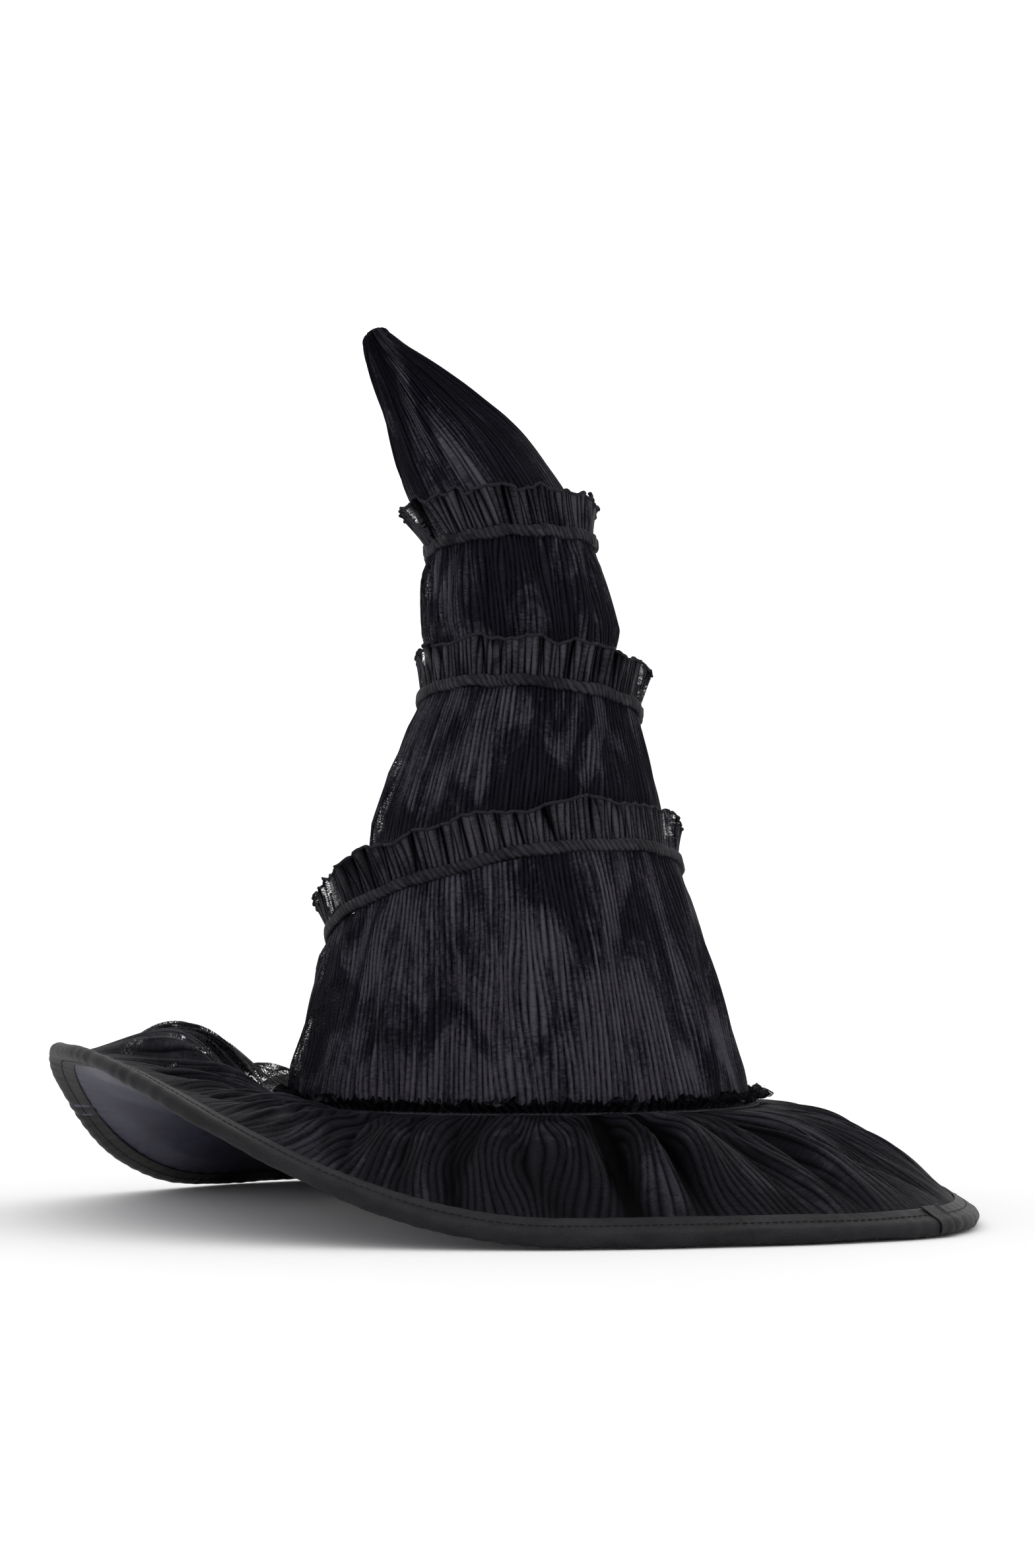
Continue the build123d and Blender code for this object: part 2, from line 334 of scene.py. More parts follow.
def gauze_finish(name, dark, sheen_grey, blotch_low, blotch_high, see_through, base=0.16):
    """Sheer black gauze: near-black, with painted shade darkening its creases and a painted highlight on its pleat
    crests; grey patches of painted sheen, as on crushed cloth, with ragged edges that run along the pleats; tiny
    painted glints;
    crosswise crinkles; painted light and shade from a per-point value; and slits where it stands off its backing."""
    finish = Finish(name, roughness=0.45, specular_ior_level=0.02)
    uv = finish.place("UV")
    pleat, loose, painted_shading = finish.attribute("pleat"), finish.attribute("loose"), finish.attribute("painted_shading")
    patches = finish.clouds(finish.stretched(uv, 1.0, 0.62), 0.085, 6.0, 0.62, 0.9)
    strands = finish.clouds(finish.stretched(uv, 1.0, 0.09), 0.9, 4.0, 0.6, 0.2)
    crinkle = finish.clouds(finish.stretched(uv, 1.0, 2.2), 1.1, 5.0, 0.7, 0.4)
    # The per-point shading value adds painted light and shade: lighter on lit fronts and flute crests, darker in deep
    # folds and on shaded sides.
    shade = patches + painted_shading * 0.10 + (strands - 0.5) * 0.34 + (crinkle - 0.5) * 0.22
    # Grey patches of painted sheen, as on crushed cloth.
    crushed_sheen = finish.between(shade, blotch_low, blotch_high)
    # Painted highlight: the pleat crests are painted lighter.
    crest_highlight = finish.between(pleat, 0.20, 1.0)
    streaks = finish.between(strands * 0.6 + crinkle * 0.4, 0.30, 0.66)
    lit = (crushed_sheen * (1 - base) + base) * (crest_highlight * 0.75 + 0.25) * (streaks * 0.8 + 0.25)
    # Tiny painted glints, only inside the painted sheen patches.
    glints = finish.between(finish.clouds(finish.stretched(uv, 2.6, 1.0), 2.6, 2.0, 0.5), 0.70, 0.80)
    colour = finish.blend(lit, dark, sheen_grey)
    # Painted shade: the pleat creases are painted darker still.
    colour = finish.blend(finish.between(pleat, 0.06, 0.42), tuple(0.2 * c for c in dark), colour)
    finish.paint(base_color=finish.blend(glints * crushed_sheen * 0.55, colour, tuple(3.2 * c for c in sheen_grey)))
    ladder = finish.clouds(finish.stretched(uv, 0.9, 4.2), 1.5, 2.0, 0.5)
    window = finish.clouds(finish.stretched(uv, 0.5, 0.28), 0.42, 2.0, 0.5)
    slits = finish.between(ladder, 0.46, 0.56) * finish.between(window, 0.42, 0.54)
    finish.paint(alpha=1 - see_through * slits * finish.between(loose, 0.12, 0.6))
    finish.relief(crinkle * 0.5 + strands * 0.5 + pleat * 0.4, 0.0013)
    return finish


gauze_dark, gauze_sheen_grey = (0.0018, 0.0017, 0.0042), (0.066, 0.062, 0.077)
crown_gauze = gauze_finish("crown_gauze", gauze_dark, gauze_sheen_grey, 0.46, 0.64, 1.0)


def satin_finish(name, colour, painted_sheen, rough):
    """Woven satin: fine crosswise threads over long soft creases; along the creases its colour is painted lighter and
    bluer, a painted sheen.
    """
    finish = Finish(name, specular_ior_level=0.22)
    here = finish.place("UV")
    threads = finish.clouds(finish.stretched(here, 1.0, 9.0), 6.0, 2.0, 0.5)
    creases = finish.clouds(finish.stretched(here, 1.0, 0.4), 0.35, 5.0, 0.55, 0.6)
    # Painted sheen: a lighter, bluer colour along the soft creases.
    finish.paint(base_color=finish.blend(creases, colour, painted_sheen), roughness=rough + threads * 0.16)
    finish.relief(creases * 0.8 + threads * 0.2, 0.0008)
    return finish


crown_satin = satin_finish("crown_satin", (0.006, 0.006, 0.011), (0.013, 0.012, 0.024), 0.34)
crown_lining = satin_finish("crown_lining", (0.010, 0.010, 0.013), (0.020, 0.019, 0.025), 0.55)
foam_finish = Finish("crown_foam", roughness=0.9, specular_ior_level=0.2)
foam_cells = foam_finish.clouds(foam_finish.place(), 900.0, 3.0, 0.6)
foam_finish.paint(base_color=foam_finish.blend(foam_cells, (0.012, 0.012, 0.013), (0.030, 0.030, 0.032)))
foam_finish.relief(foam_cells, 0.0004)

crown = {
    "tier_one": ("brim_and_tier_one", [foot_seam, low_seam], 232, (1100, 84), (0.6, 0.0, 2.0), 0.0),
    "tier_two": ("tier_two", [moved_up(low_seam, -tuck, -tuck_step), mid_seam],
                 176, (880, 76), (1.4, -1.5, 1.9), 0.34),
    "tier_three": ("tier_three", [moved_up(mid_seam, -tuck, -tuck_step), top_seam],
                   112, (640, 64), (1.2, 2.6, 2.3), 0.41),
    "tip": ("tip", [moved_up(top_seam, -tuck, -3.4 * mm)] + tip_rings,
            96, (600, 84), (0.3, 0.0, 0.0), 0.36),
}
pleat_depth = 0.85 * mm
sag_depth = 0.9 * mm
layer_depths = {"satin": 1.1 * mm, "foam": 1.6 * mm, "lining": 3.7 * mm}
layer_finish = {"satin": crown_satin, "foam": foam_finish, "lining": crown_lining}
layer_thick = {"satin": 0.4 * mm, "foam": 2.0 * mm, "lining": 0.4 * mm}
filling_stop = 10.0 * mm


def rounded_end(points, ring):
    """Close the last rows of a tip: for t from 0 to 1 the ring goes forward by its radius * t along
    its axis and shrinks to sqrt(1 - t^2), a round nose."""
    start = int(0.95 * len(points))
    first = points[start]
    centre = first.mean(0)
    reach = np.linalg.norm(first - centre, axis=-1).mean()
    t = np.linspace(0, 1, len(points) - start)[:, None, None]
    nose = centre + turned(*ring[2:])[:, 2] * reach * t
    closed = nose + (first - centre) * np.sqrt(1 - 0.9999 * t ** 2)
    return np.concatenate([points[:start], closed])


for number, (tier, (body, rings, pleat_count, (columns, rows), swells, covered)) in enumerate(crown.items()):
    bulge, right_bulge, left_slack = swells
    closed_tip = tier == "tip"
    length = sum(np.linalg.norm(b[0] - a[0]) for a, b in zip(rings, rings[1:]))
    angle, rise = np.meshgrid(around(columns), np.linspace(0, 1, rows))
    surface, out = wall(rings, angle, rise)
    pleat, pleat_number = crinkled(angle, rise, pleat_count, 2.4, 40 + number)
    held = np.clip(np.minimum((rise - covered) / 0.15, (1.0 - rise) / 0.10 if not closed_tip else 1.0), 0, 1)
    left_side = np.exp(-((angle - np.pi) / 0.55) ** 2) * (0 if closed_tip else 1)
    lift = np.maximum(ripple(angle, rise, 60 + number, (2, 9), 1.3), 0)
    sag = ripple(angle, rise, 70 + number, (5, 26), 1.6) * sag_depth * held
    swell = bulge + right_bulge * bell(angle, 2 * np.pi, 0.7)
    slack = left_slack * left_side * (0.35 + 0.75 * np.minimum(lift, 1.2))
    stand_off = held * (4 * rise * (1 - rise) * swell + slack) * mm + sag * 0.7
    flattened = 0.35 + 0.65 * np.clip((rise - covered) / 0.1, 0, 1)
    surface = surface + out * (stand_off + pleat * pleat_depth * flattened - 0.5 * mm)[..., None]
    loose = np.clip(left_side * held * (0.35 + 1.2 * lift), 0, 1)
    # Painted light and shade on the tiers: lighter low on tier one's front, darker at the right front of the upper
    # tiers and on the left of every tier.
    painted_shading = 1.1 * bell(angle, -1.5, 0.8) * bell(rise, 0.3, 0.5) if tier == "tier_one" \
        else -0.8 * bell(angle, -0.6, 0.8)
    painted_shading = painted_shading - 0.5 * bell(angle, -2.9, 0.5)
    if closed_tip:
        surface = rounded_end(surface, rings[-1])
    uv = (pleat_number, rise * length / (2.6 * mm))
    gauze = cloth(f"{tier}_gauze_panel", surface, uv, crown_gauze, body, f"{tier}_gauze",
                  values={"pleat": pleat, "loose": loose, "painted_shading": painted_shading})

    for layer in ("satin", "foam") if closed_tip else ("satin", "foam", "lining"):
        top = 1.0 if layer == "satin" or closed_tip else 1.0 - filling_stop / length
        angle, rise = np.meshgrid(around(168), np.linspace(0, top, 26))
        surface, out = wall(rings, angle, rise)
        crease = ripple(angle, rise, 90 + number, (3, 12), 1.5) * 0.12 * mm
        surface = surface + out * (crease - layer_depths[layer])[..., None]
        if closed_tip:
            surface = rounded_end(surface, rings[-1])
        uv = (angle / (2 * np.pi) * pleat_count, rise * length / (2.6 * mm))
        piece = cloth(f"{tier}_{layer}_panel", surface, uv, layer_finish[layer], body, f"{tier}_{layer}",
                      thick=layer_thick[layer])
        ring_length = np.pi * (rings[0][1] + rings[-1][1])
        layer == "foam"

# Bands: on each seam a strip of the crown's gauze, folded over its gathering cord into a slim rib.
# The strip is cut on the bias, so its crinkles run round the rib at a slant.
trims = {
    "low": (low_seam, "brim_and_tier_one", (50, 1.9, 0.6), (1.0, 0.0), (0.0, 0.4)),
    "mid": (mid_seam, "tier_two", (32, 1.8, 0.6), (1.0, 0.0), (0.15, 1.0)),
    "top": (top_seam, "tier_three", (24, 1.6, 0.6), (3.3, -4.0), (0.35, 3.2)),
}
band_finish = Finish("folded_band", roughness=0.5, specular_ior_level=0.06)
band_cloth = band_finish.place("UV")
band_creases = band_finish.clouds(band_finish.stretched(band_cloth, 1.0, 0.3), 1.3, 5.0, 0.65, 0.5)
band_patches = band_finish.clouds(band_finish.stretched(band_cloth, 1.0, 0.3), 0.12, 4.0, 0.6)
# Painted shade: the band darkens in the creases of its slanting crinkles and is lighter on their crests.
band_crinkle_shade = band_finish.between(band_finish.attribute("pleat"), 0.1, 0.9)
band_shade = band_finish.between(band_creases * 0.6 + band_patches * 0.5, 0.40, 0.68) * (band_crinkle_shade * 0.8 + 0.2)
band_finish.paint(base_color=band_finish.blend(band_shade, (0.0035, 0.0035, 0.0052), (0.034, 0.033, 0.040)))
band_finish.relief(band_creases, 0.0007)
cord_finish = Finish("cotton_cord", base_color=(0.05, 0.05, 0.055, 1), roughness=0.85)
cord_fibres = cord_finish.clouds(cord_finish.place(), 2500.0, 3.0, 0.6)
cord_finish.relief(cord_fibres, 0.0003)
band_middle = 2.35 * mm
band_half_height, band_half_width = 2.35 * mm, 1.45 * mm


def on_ring(ring, angle, radius, height, moved=0.0):
    """Points centre + R (radius cos + moved, radius sin, height) in a seam's tilted frame."""
    centre, _, back, left = ring
    local = np.stack([radius * np.cos(angle) + moved, radius * np.sin(angle), height + 0 * angle], -1)
    return centre + local @ turned(back, left).T


def squared(wave, power=0.55):
    """sign(wave) * |wave|^power: flattens a circle's sides and rounds its corners."""
    return np.sign(wave) * np.abs(wave) ** power


for number, (seam, (ring, body, _, _, _)) in enumerate(trims.items()):
    angle, lap = np.meshgrid(around(1300), np.linspace(0, 2 * np.pi, 19))
    plies = round(2 * np.pi * ring[1] / (2.6 * mm))
    slant = plies * angle + 4 * np.sin(lap) + 2.4 * ripple(angle, 0, 200 + number, (2, 14), 0)
    crease = np.abs(np.sin(slant / 2)) ** 0.8 * 0.42 * mm + ripple(angle, 0, 210 + number, (9, 40), 0) * 0.18 * mm
    out = (band_half_width + crease) * squared(np.cos(lap))
    up = (band_half_height + crease * 0.7) * squared(np.sin(lap)) \
        + 0.3 * mm * ripple(angle, 0, 220 + number, (4, 16), 0)
    rib = on_ring(ring, angle, ring[1] + 0.25 * mm + out, band_middle + up)
    band = cloth(f"{seam}_folded_band", rib, (slant / (2 * np.pi), lap * 0.6), band_finish, body,
                 f"{seam}_band", values={"pleat": np.abs(np.sin(slant / 2))}, looped=True)
    round(2 * np.pi * ring[1], 3)
    angle, lap = np.meshgrid(around(700), np.linspace(0, 2 * np.pi, 10))
    ply = 0.78 * mm + 0.12 * mm * np.abs(np.sin(1.5 * lap + plies * angle))
    strand = on_ring(ring, angle, ring[1] + 0.25 * mm + ply * np.cos(lap), band_middle + ply * np.sin(lap))
    cloth(f"{seam}_cord", strand, (angle, lap), cord_finish, body, f"{seam}_gathering_cord",
          looped=True)

# Ruffles: a strip of gauze gathered on the cord and standing up from each band in flutes. Its free
# edge is overlocked with thick black thread, which makes it wave.
ruffle_gauze = gauze_finish(
    "ruffle_gauze", (0.0016, 0.0016, 0.0030), (0.058, 0.055, 0.066), 0.42, 0.64, 0.9, 0.30)
overlock_finish = Finish("overlock_thread", roughness=0.7, specular_ior_level=0.1)
overlock_twist = overlock_finish.clouds(overlock_finish.place("UV"), 3.0, 2.0)
overlock_finish.paint(base_color=overlock_finish.blend(overlock_twist, (0.006, 0.006, 0.008), (0.022, 0.021, 0.027)))
ruffle_foot, ruffle_height = 4.3 * mm, 16.3 * mm
loop_radius = 0.48 * mm


for number, (seam, (ring, body, (flutes, swing, lean), (flare, moved), ends)) in enumerate(trims.items()):
    angle, t = np.meshgrid(around(1700), np.linspace(0, 1, 24))
    wander = 2.6 * ripple(angle, t * 0.4, 300 + number, (2, 8), 0.3)
    phase = flutes * angle + wander
    size = 0.75 + 0.4 * ripple(angle, 0, 310 + number, (2, 9), 0)
    crease = np.abs(np.sin(phase / 2)) ** 0.6
    wave = 2 * crease - 0.55 + 0.2 * ripple(angle, t, 350 + number, (20, 60), 0.6)
    plies = round(2 * np.pi * ring[1] / (2.4 * mm))
    pleat, pleat_number = crinkled(angle, t * 0.12, plies, 2.2, 320 + number)
    ends_out = bell(angle, ends[0], 0.42) + bell(angle, np.pi + ends[0], 0.36)
    rise = t ** 1.25
    tall = ruffle_height * (1 + 0.055 * ripple(angle, 0, 330 + number, (5, 24), 0)) + 0.8 * mm * np.cos(phase)
    radius = ring[1] - 0.4 * mm + (flare + lean * 0.5) * mm * t + swing * mm * size * wave * rise \
        + ends[1] * mm * ends_out * t ** 2 + pleat * 0.6 * mm
    sideways = -0.45 * swing * mm * np.sin(2 * phase) * rise / ring[1]
    strip = on_ring(ring, angle + sideways, radius, ruffle_foot + tall * t, moved * mm * t)
    loose = np.clip(ends_out * 0.9, 0, 1) * np.minimum(4 * t, 1)
    # Painted light and shade: the pleat value is lowered in the flutes' hollows and towards the top, which paints them
    # darker, and the shading value paints the flutes' outer folds lighter.
    ruffle = cloth(f"{seam}_gathered_ruffle", strip, (pleat_number, t * ruffle_height / (2.4 * mm)), ruffle_gauze,
                   body, f"{seam}_ruffle",
                   values={"pleat": pleat * np.clip(1.9 * crease - 0.75 * t, 0.02, 1), "loose": loose,
                           "painted_shading": 0.6 * crease})
    edge = strip[-1][None]
    lap = np.linspace(0, 2 * np.pi, 9)[:, None]
    turns = round(2 * np.pi * ring[1] / (1.15 * mm))
    thread = loop_radius * (0.8 + 0.32 * np.abs(np.sin(turns * angle[0] / 2 + lap)))
    axis = turned(*ring[2:])
    outward = np.stack([np.cos(angle[0]), np.sin(angle[0]), 0 * angle[0]], -1) @ axis.T
    braid = edge + (thread * np.cos(lap))[..., None] * outward \
        + (1.5 * thread * np.sin(lap))[..., None] * axis[:, 2]
    overlock = cloth(f"{seam}_ruffle_overlock", braid, (turns * angle[:9] / 6.28, lap + 0 * angle[:9]),
                     overlock_finish, body, None, looped=True)
    round(2 * np.pi * ring[1] * 1.45, 3)

# Foot of the crown: a frill gathered on a narrow tape hides the seam between crown and brim. Its edge
# is left raw, and threads fray from it.
frill_gauze = gauze_finish("frill_gauze", (0.004, 0.004, 0.006), (0.030, 0.029, 0.036), 0.46, 0.66, 0.4)
tape_finish = Finish("gathering_tape", base_color=(0.02, 0.02, 0.023, 1), roughness=0.8)
tape_finish.relief(tape_finish.clouds(tape_finish.place(), 1800.0, 2.0), 0.0003)
frill_radius = 98.2 * mm
angle, t = np.meshgrid(around(2600), np.linspace(0, 1, 15))
flute = 155 * angle + 2.6 * ripple(angle, t, 401, (2, 12), 0.4)
unruly = 1 + 0.5 * ripple(angle, 0, 402, (5, 30), 0) + 1.1 * bell(angle, -0.15, 0.30)
wave = squared(np.sin(flute), 0.8) + 0.5 * np.sin(140.0 * angle + ripple(angle, t, 403, (2, 9), 0.5))
ragged = 1 + 0.16 * ripple(angle, 0, 404, (40, 160), 0) + 0.12 * ripple(angle, 0, 405, (160, 420), 0)
radius = frill_radius + (0.5 + 3.6 * t ** 1.3) * mm + 1.25 * mm * t * unruly * wave
height = 1.3 * mm + 4.6 * mm * np.sin(1.35 * t) * ragged + 0.7 * mm * t * unruly * np.cos(flute + 0.6)
frill_points = on_ring(foot_seam, angle - 0.006 * t * unruly * np.sin(2 * flute), radius, height)
# Painted shade: the pleat value follows sin(flute), so the colour darkens in the flutes' hollows.
frill = cloth("frayed_frill", frill_points, (flute / 6.28, t * 3), frill_gauze, "brim_and_tier_one", "base_frill",
              values={"pleat": 0.5 + 0.5 * np.sin(flute), "loose": 0.5 * t, "painted_shading": 0 * t})
dice = np.random.default_rng(410)
count = 2400
root = dice.integers(0, 2600, count)
start = frill_points[dice.integers(11, 15, count), root]
facing = around(2600)[root]
reach = dice.gamma(2.2, 0.8, (count, 1)) * mm
heading = np.stack([np.cos(facing), np.sin(facing), 0 * facing], -1) * dice.uniform(0.1, 1.1, (count, 1)) \
    + dice.normal(0, 0.6, (count, 3)) + [0, 0, 0.5]
curl = dice.normal(0, 0.55, (count, 3))
s = np.linspace(0, 1, 5)[None, :, None]
spine = start[:, None] + reach[:, None] * (heading[:, None] * s + curl[:, None] * s ** 2)
half = 0.075 * mm * (1 - 0.6 * s) * np.array([[[-np.sin(a), np.cos(a), 0.4]] for a in facing])
fray_points = np.stack([spine - half, spine + half], 2)
fray_mesh = bpy.data.meshes.new("frill_threads")
first = np.arange(count)[:, None] * 10 + np.arange(4)[None] * 2
fray_faces = np.stack([first, first + 1, first + 3, first + 2], -1).reshape(-1, 4)
fray_mesh.from_pydata(fray_points.reshape(-1, 3), [], fray_faces.tolist())
fray_mesh.materials.append(overlock_finish.material)
fray = bpy.data.objects.new("frill_threads", fray_mesh)
bpy.context.scene.collection.objects.link(fray)
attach(fray, "brim_and_tier_one")
angle, lap = np.meshgrid(around(720), np.linspace(0, 2 * np.pi, 13))
tape = on_ring(foot_seam, angle, 99.4 * mm + 1.6 * mm * squared(np.cos(lap), 0.4),
               (0.5 + 0.38 * squared(np.sin(lap), 0.4)) * mm)
frill_tape = cloth("frill_gathering_tape", tape, (angle, lap), tape_finish, "brim_and_tier_one", "frill_tape",
                   looped=True)

# Head opening: a grosgrain ribbon, ribbed across its width, sewn round inside the crown's foot.
ribbon_finish = Finish("grosgrain", roughness=0.7, sheen_weight=0.15)
ribs = ribbon_finish.node("ShaderNodeTexWave", {"bands_direction": "X"}, {
    "Vector": ribbon_finish.place("UV"), "Scale": 0.5, "Distortion": 0.3})
ribbon_finish.paint(base_color=ribbon_finish.blend(ribs, (0.008, 0.008, 0.010), (0.022, 0.022, 0.026)))
ribbon_finish.relief(ribs, 0.0003)
angle, t = np.meshgrid(around(720), np.linspace(0, 1, 14))
rim = 0.12 * mm * np.cos(2 * np.pi * t) - 0.12 * mm
ribbon = cloth("sweatband_ribbon", on_ring(foot_seam, angle, 92.65 * mm + rim, (-10.1 + 11.9 * t) * mm),
               (angle * 92, t * 4), ribbon_finish, "brim_and_tier_one", "sweatband", thick=0.9 * mm)

# Brim: a buckram board under satin, with a gathered cover puffed loosely over it and a satin lining
# below. The gathers are pinched at the frill and under the binding, and swell into folds between.
board_middle = -1.85 * mm
hole_radius = 93.0 * mm
seam_margin, leg_cover = 10.0 * mm, 8.0 * mm


def raised(t):
    """(1 - cos(pi t)) / 2 between 0 and 1."""
    return (1 - np.cos(np.pi * np.clip(t, 0, 1))) / 2


def brim_width(angle):
    """Board width from its hole: a circle with a soft point at -40 degrees, flatter at 5."""
    radius = 194 + 20 * bell(angle, np.radians(-40), np.radians(20)) \
        - 15 * bell(angle, np.radians(5), np.radians(35))
    return radius * mm - hole_radius


def on_brim(angle, distance, height):
    """Points at a height square to the board, distance out from its hole. The board's middle is
    level for the seam margin, then drops or rises to the edge as reach^1.4; the edge lies near the
    table but curls up over the left side."""
    turn = (np.degrees(angle) + 222) % 360 - 222
    lift = np.minimum(raised((turn + 222) / 57), raised((-85 - turn) / 73))
    drop = table + (4.1 + 64 * lift) * mm - board_middle
    width = brim_width(angle)
    on_board = np.minimum(distance, width)
    reach = np.maximum(on_board - seam_margin, 0) / (width - seam_margin)
    slope = 1.4 * drop * reach ** 0.4 / (width - seam_margin)
    length = np.hypot(1, slope)
    past = distance - on_board
    radius = hole_radius + on_board + (past - slope * height) / length
    z = board_middle + drop * reach ** 1.4 + (slope * past + height) / length
    return np.stack([radius * np.cos(angle), radius * np.sin(angle), z], -1)


brim_gauze = gauze_finish("brim_gauze", (0.0007, 0.0007, 0.0016), (0.038, 0.036, 0.046), 0.50, 0.70, 1.0, 0.36)
brim_satin = satin_finish("brim_satin", (0.004, 0.004, 0.008), (0.010, 0.010, 0.018), 0.36)
brim_lining = satin_finish("brim_lining", (0.025, 0.024, 0.050), (0.062, 0.059, 0.102), 0.34)
cover_start, cover_low, cover_mid_radius = 6.5 * mm, 2.1 * mm, 0.15
angle, f = np.meshgrid(around(2000), np.linspace(0, 1, 49))
width = brim_width(angle)
pinch = width - leg_cover
distance = cover_start + (pinch + 1.5 * mm - cover_start) * f
puffed = np.clip(np.sin(np.pi * f ** 1.1), 0, 1) ** 1.2
left_puff = bell(angle, np.radians(165), np.radians(32))
swirl = 0.5 * ripple(angle, f, 501, (2, 6), 0.35)
fold_phase = 25 * angle + 2.3 * ripple(angle, f, 502, (2, 8), 0.45)
folds = np.abs(np.sin(fold_phase / 2 + swirl)) ** 0.7 - 0.55
small_folds = ripple(angle, f, 503, (40, 110), 0.9)
lumps = ripple(angle, f, 504, (5, 18), 1.2)
front = bell(angle, np.radians(-76), np.radians(24))
body_puff = (2.0 + 4.2 * front + 0.9 * lumps + 4.0 * folds + 0.7 * small_folds) * mm
loose_puff = (27.0 + 4.0 * lumps + 8.0 * folds) * mm * left_puff * np.clip(np.sin(np.pi * f ** 1.1), 0, 1)
# Mask of the deep folds, used only for painted shade.
deep_fold_shade = 0
for middle, deep in ((-76.5, 9.0), (-68.0, 7.0), (-98.0, 4.0), (-49.0, 4.5)):
    curved = np.radians(middle) + 0.10 * (f - 0.5) ** 2 - 0.05 * (f - 0.5)
    deep_fold_shade = deep_fold_shade + deep / 9 * bell(angle, curved, 0.030)
    body_puff = body_puff - deep * mm * bell(angle, curved, 0.026) \
        + 0.45 * deep * mm * bell(angle, curved + 0.075, 0.045)
pleat, pleat_number = crinkled(angle, f, 330, 5.0, 510)
body_puff = body_puff + pleat * 1.0 * mm
pinned = 0.3 * mm * pleat
height = cover_low + np.maximum(body_puff * puffed + pinned * (1 - puffed), 0.0) + loose_puff
sideways = 0.35 * mm * np.cos(fold_phase) * puffed / cover_mid_radius
cover_points = on_brim(angle + sideways, distance, height)
window = np.clip(ripple(angle, f, 511, (6, 22), 1.2), 0, 1)
loose = np.clip(left_puff * 1.2 * np.sin(np.pi * f) ** 0.5 * (0.75 + window), 0, 1)
# Painted light and shade: the pleat value is lowered in the fold valleys and deep folds, which paints them darker, and
# the shading value darkens the deep folds and lightens the lumps.
cover = cloth("brim_gathered_cover", cover_points, (pleat_number, distance / (2.8 * mm)), brim_gauze,
              "brim_and_tier_one", "brim_gauze_cover",
              values={"pleat": pleat * np.clip(0.5 + 0.6 * (folds + 0.55) - 0.9 * deep_fold_shade, 0, 1),
                      "loose": loose, "painted_shading": 0.5 * lumps - 2 * deep_fold_shade})
angle, f = np.meshgrid(around(480), np.linspace(0, 1, 34))
width = brim_width(angle)
crease = 0.12 * mm * ripple(angle, f, 520, (3, 14), 1.0)
satin = cloth("brim_satin_disc", on_brim(angle, width * f, 1.72 * mm + crease), (angle * 24, f * 20), brim_satin,
              "brim_and_tier_one", "brim_satin", thick=0.3 * mm)
angle, f = np.meshgrid(around(1100), np.linspace(0, 1, 42))
width = brim_width(angle)
free = np.clip(np.minimum(f / 0.12, (0.90 - f) / 0.12), 0, 1) ** 1.3
hang = np.abs(np.sin(19 * angle / 2 + 1.6 * ripple(angle, f, 530, (2, 7), 0.5))) * 1.3 \
    + 0.45 * ripple(angle, f, 531, (6, 30), 1.3)
pucker = 0.16 * ripple(angle, 0, 532, (90, 220), 0) * np.exp(-((1 - f) / 0.10) ** 2)
under = -1.95 * mm - (free * np.maximum(hang + 0.5, 0) + pucker) * mm
lining = cloth("brim_lining_disc", on_brim(angle, 0.4 * mm + (width - 0.4 * mm) * f, under), (angle * 24, f * 20),
               brim_lining, "brim_and_tier_one", "brim_lining", outward=False, thick=0.35 * mm)

# Edge: a bias strip folded round the cut edges and topstitched, with a wire in its fold. Its last end
# is turned under and lapped, and two slanting joins show where lengths of bias were pieced.
binding_finish = Finish("binding_bias", roughness=0.5, specular_ior_level=0.14)
weave = binding_finish.clouds(binding_finish.stretched(binding_finish.place("UV"), 1.0, 1.0), 3.2, 4.0, 0.7)
rubbed = binding_finish.clouds(binding_finish.stretched(binding_finish.place("UV"), 0.3, 1.0), 0.28, 4.0, 0.6)
binding_finish.paint(base_color=binding_finish.blend(
    binding_finish.between(weave * 0.55 + rubbed * 0.6, 0.38, 0.75), (0.0045, 0.0045, 0.0055), (0.018, 0.018, 0.0205)))
binding_finish.relief(weave, 0.0005)
section = np.array([
    (-8.0, 2.95), (-7.5, 3.15), (-5.4, 3.1), (-3.5, 3.05), (-2.5, 3.05), (-1.4, 3.2), (0.2, 3.35), (1.7, 3.0),
    (2.9, 2.1), (3.5, 0.9), (3.55, -0.4), (3.1, -1.6), (2.0, -2.5), (0.6, -2.95), (-1.2, -2.85), (-2.8, -2.75),
    (-5.0, -2.8), (-7.5, -2.8), (-8.0, -2.6)]) * mm


def binding_face(angle, t, proud=0.0):
    """Points on the binding's outer face: its section run round the brim's edge at a distance and
    height, with t from the upper leg's end (0) round the nose to the lower leg's end (1)."""
    placed = eased(len(section), section, t * (len(section) - 1))
    slip = (0.22 * ripple(angle, t, 601, (8, 34), 0.4) + 0.10 * ripple(angle, t, 602, (60, 190), 0.5)) * mm
    nose = np.sin(np.pi * t)
    joins = sum(bell(angle, np.radians(a) + 0.016 * (t - 0.3), 0.006) for a in (-79.5, -64.5))
    swell = (slip + 0.5 * mm * joins) * (0.35 + 0.65 * nose) + proud
    side = np.stack([nose, np.cos(np.pi * t)], -1)
    side = side / np.linalg.norm(side, axis=-1, keepdims=True)
    placed = placed + side * swell[..., None]
    return on_brim(angle, brim_width(angle) + placed[..., 0], placed[..., 1])


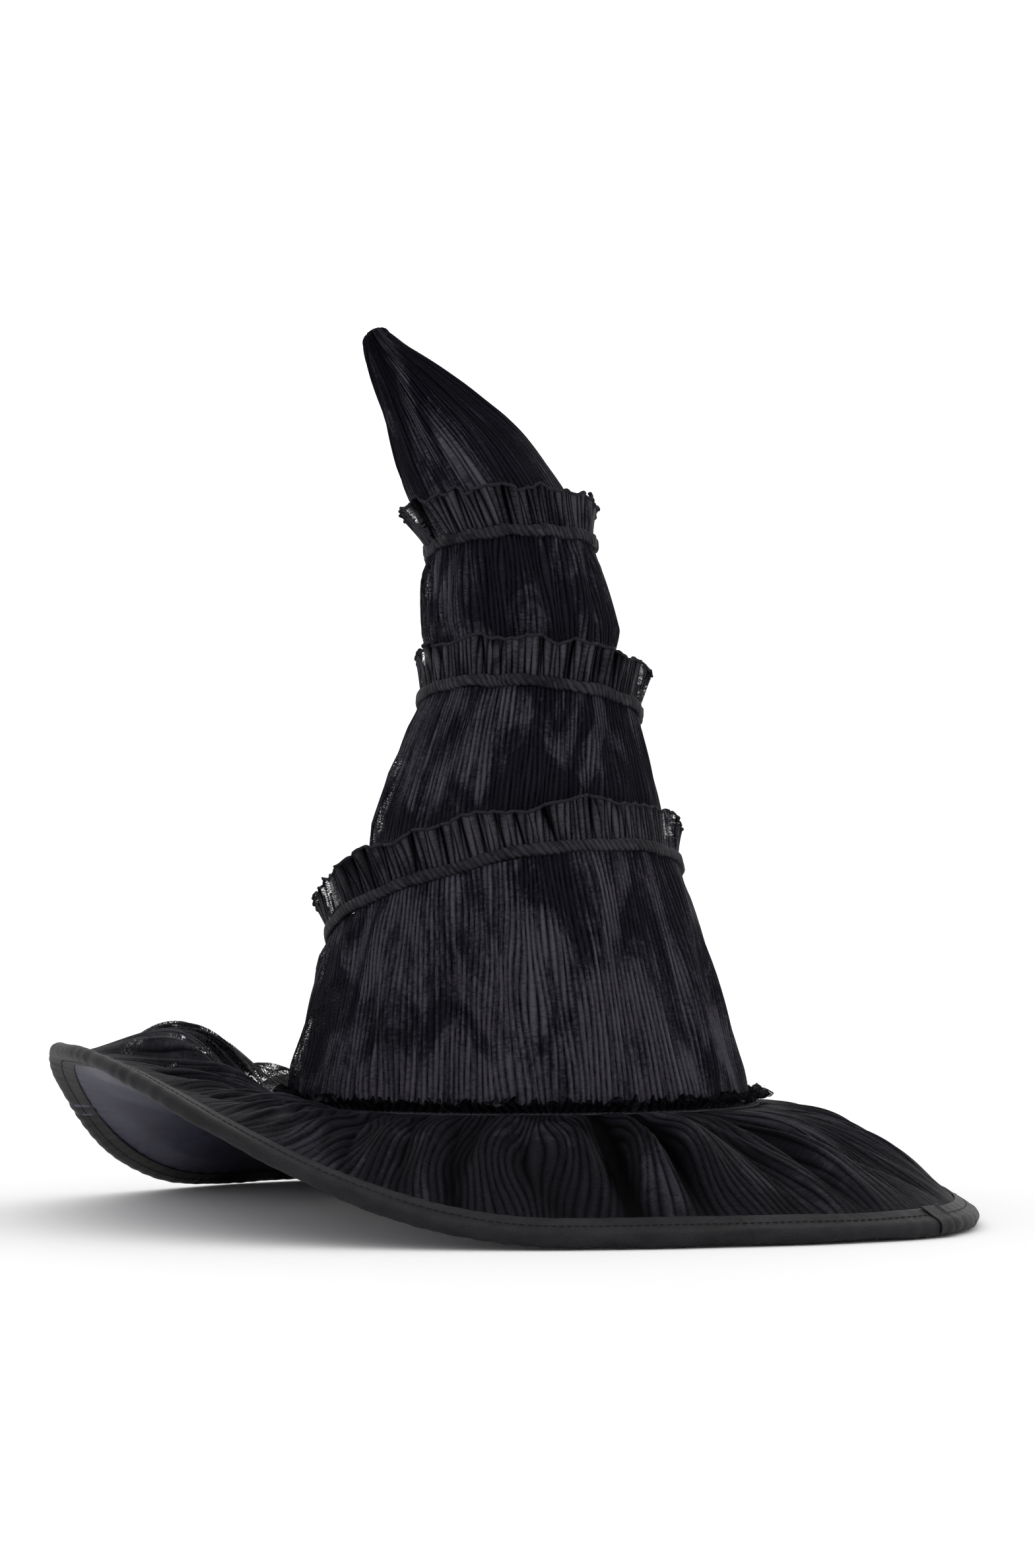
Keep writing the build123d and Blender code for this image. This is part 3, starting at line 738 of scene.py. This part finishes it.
angle, t = np.meshgrid(around(1500), np.linspace(1, 0, 30))
binding = cloth("folded_binding", binding_face(angle, t), (angle * 99, t * 12), binding_finish, "brim_and_tier_one",
                "edge_binding", thick=0.4 * mm)
stitch_pitch, edge_radius = 3.0 * mm, 0.199
count = round(2 * np.pi * edge_radius / stitch_pitch)
middle = (np.arange(count) / count * 2 * np.pi)[:, None, None]
along, round_it = np.meshgrid(np.linspace(-1, 1, 7), np.linspace(0, 2 * np.pi, 7)[:-1], indexing="ij")
swept = np.sqrt(np.clip(1 - along ** 2, 0.01, 1))
stitch_mesh = bpy.data.meshes.new("binding_stitches")
rows_of_stitches = []
for level, sign in ((0.17, 1), (0.83, -1)):
    here = middle + along * 1.1 * mm / edge_radius
    proud = 0.16 * mm * swept * (1 + np.cos(round_it))
    across_face = level + 0.0075 * swept * np.sin(round_it)
    rows_of_stitches.append(binding_face(here, across_face + 0 * here, proud + 0 * here))
stitch_points = np.concatenate(rows_of_stitches).reshape(-1, 3)
i, j = np.mgrid[0:6, 0:6]
one = np.stack([i * 6 + j, i * 6 + (j + 1) % 6, (i + 1) * 6 + (j + 1) % 6, (i + 1) * 6 + j], -1).reshape(-1, 4)
stitch_faces = (np.arange(2 * count)[:, None, None] * 42 + one[None]).reshape(-1, 4)
stitch_mesh.from_pydata(stitch_points, [], stitch_faces.tolist())
stitch_mesh.shade_smooth()
stitch_mesh.materials.append(overlock_finish.material)
stitches = bpy.data.objects.new("binding_stitches", stitch_mesh)
bpy.context.scene.collection.objects.link(stitches)
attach(stitches, "brim_and_tier_one")
lap_angle, lap_half = np.radians(-40), 0.028
angle, t = np.meshgrid(lap_angle + lap_half * np.linspace(1, -1, 21), np.linspace(0.56, 0.005, 40))
fold_over = np.exp(-((angle - lap_angle - lap_half) / 0.008) ** 2)
tab = cloth("binding_lap_tab", binding_face(angle - 0.012 * (t - 0.3), t, (0.85 + 0.7 * fold_over) * mm),
            (angle * 99, t * 12), binding_finish, "brim_and_tier_one", "binding_lap",
            outward=False, thick=0.5 * mm, closed=False)
wire_finish = Finish("wire_metal", metallic=1.0, roughness=0.32)
wire_scratches = wire_finish.clouds(wire_finish.place(), 900.0, 3.0)
wire_finish.paint(base_color=wire_finish.blend(wire_scratches, (0.35, 0.35, 0.36), (0.55, 0.55, 0.56)))
board_finish = Finish("buckram", roughness=0.9)
board_weave = board_finish.clouds(board_finish.place(), 1200.0, 3.0)
board_finish.paint(base_color=board_finish.blend(board_weave, (0.02, 0.02, 0.022), (0.05, 0.05, 0.055)))
board_finish.relief(board_weave, 0.0004)
for node, finish in {"edge_wire": wire_finish, "wire_joiner": wire_finish, "brim_board": board_finish}.items():
    for slot in frame["nodes"][node].material_slots:
        slot.material = finish.material
